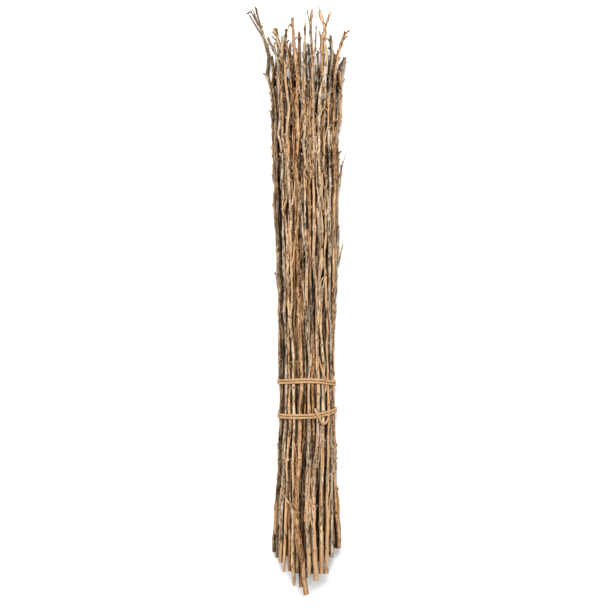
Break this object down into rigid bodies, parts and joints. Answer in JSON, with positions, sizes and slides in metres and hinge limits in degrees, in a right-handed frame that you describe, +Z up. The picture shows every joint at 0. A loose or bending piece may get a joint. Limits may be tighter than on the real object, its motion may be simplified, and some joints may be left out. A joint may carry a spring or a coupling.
{
  "type": "bundle of twigs",
  "caption": "Tied bundle of long dry twigs with forked, splayed tips and stepped cut ends, held by two double turns of cord and lying on its side.",
  "frame": {"origin": "under the middle of the bundle's box, on the surface that it lies on", "axes": "+Z up from the surface, +Y along the bundle towards the tips, +X to the right when it is looked down on with the tips away"},
  "size_m": [0.1686, 0.998, 0.0922],
  "materials": {
    "grey_bark": "weathered grey bark with fine cracks along it, matte",
    "tan_bark": "dry tan bark, matte",
    "straw_wood": "peeled straw-coloured wood, dry, faint sheen",
    "orange_wood": "half-peeled orange inner bark, dry",
    "pink_bark": "smooth pinkish-tan bark, dry",
    "brown_bark": "dark brown bark, rough and matte",
    "cord": "twisted plant-fibre twine with loose fibres, matte"
  },
  "bodies": {
    "root": {"fan_tipped_twig": "grey_bark", "left_edge_twig": "brown_bark", "hooked_tip_twig": "grey_bark", "slender_left_twig": "tan_bark", "crossing_brown_twig": "orange_wood", "straight_straw_twig": "straw_wood", "dark_centre_twig": "brown_bark", "longest_twig": "orange_wood", "knotty_grey_twig": "grey_bark", "thin_orange_twig": "orange_wood", "tall_forked_twig": "pink_bark", "blunt_tipped_twig": "straw_wood", "thin_crossing_twig": "tan_bark", "short_tipped_twig": "grey_bark", "thick_orange_twig": "orange_wood", "right_edge_twig": "grey_bark", "second_layer_twig_1": "tan_bark", "second_layer_twig_2": "straw_wood", "second_layer_twig_3": "tan_bark", "second_layer_twig_4": "tan_bark", "second_layer_twig_5": "straw_wood", "second_layer_twig_6": "orange_wood", "second_layer_twig_7": "tan_bark", "second_layer_twig_8": "tan_bark", "under_twig_1": "tan_bark", "under_twig_2": "pink_bark", "under_twig_3": "brown_bark", "under_twig_4": "grey_bark", "under_twig_5": "pink_bark", "under_twig_6": "grey_bark", "under_twig_7": "pink_bark", "under_twig_8": "pink_bark", "under_twig_9": "brown_bark", "under_twig_10": "brown_bark", "under_twig_11": "orange_wood", "under_twig_12": "straw_wood", "under_twig_13": "pink_bark", "under_twig_14": "grey_bark", "under_twig_15": "pink_bark", "under_twig_16": "grey_bark", "under_twig_17": "grey_bark", "under_twig_18": "grey_bark", "under_twig_19": "brown_bark", "under_twig_20": "orange_wood", "under_twig_21": "orange_wood", "under_twig_22": "straw_wood", "fan_outer_branch": "grey_bark", "fan_inner_branch": "grey_bark", "hooked_twig_branch": "grey_bark", "forked_twig_branch": "pink_bark", "forked_twig_spur": "pink_bark", "edge_twig_branch": "grey_bark", "left_side_shoot": "grey_bark", "right_upper_shoot": "grey_bark", "right_lower_shoot": "grey_bark", "inner_twigs": "brown_bark", "upper_tie": "cord", "lower_tie": "cord", "tie_tail": "cord"}
  },
  "joints": []
}
